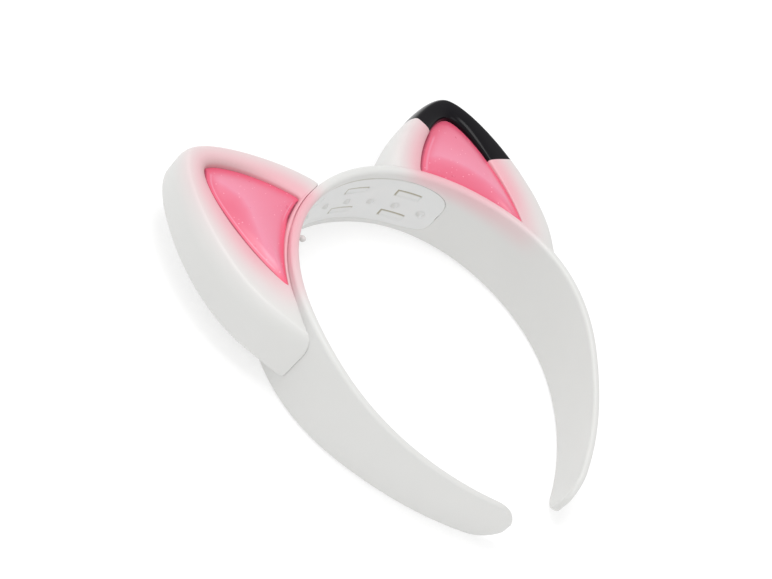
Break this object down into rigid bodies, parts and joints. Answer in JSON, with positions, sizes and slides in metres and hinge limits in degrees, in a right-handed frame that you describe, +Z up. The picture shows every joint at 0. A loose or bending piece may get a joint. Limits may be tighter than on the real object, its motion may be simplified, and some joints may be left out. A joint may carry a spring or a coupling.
{
  "type": "cat ears headband",
  "caption": "Moulded plastic headband with a hollow cat ear standing on each side of its crown, a pink panel set in the front of each ear and a grip pad inside the crown.",
  "frame": {"origin": "middle of the part's box, on the surface that it lies on", "axes": "+Y from the arm tips towards the crown and the ears, +Z up towards the front, +X to the right seen from the front"},
  "size_m": [0.1542, 0.1638, 0.0349],
  "materials": {
    "white_plastic": "satin white moulded plastic",
    "milky_plastic": "milky translucent plastic",
    "pink_plastic": "translucent pink plastic with a fine sparkle",
    "black_plastic": "gloss black"
  },
  "bodies": {
    "root": {"band": "white_plastic", "inner_pad": "milky_plastic", "ear_shell_left": "white_plastic", "ear_panel_left": "pink_plastic", "ear_shell_right": "white_plastic", "ear_tip_right": "black_plastic", "ear_panel_right": "pink_plastic"}
  },
  "joints": []
}
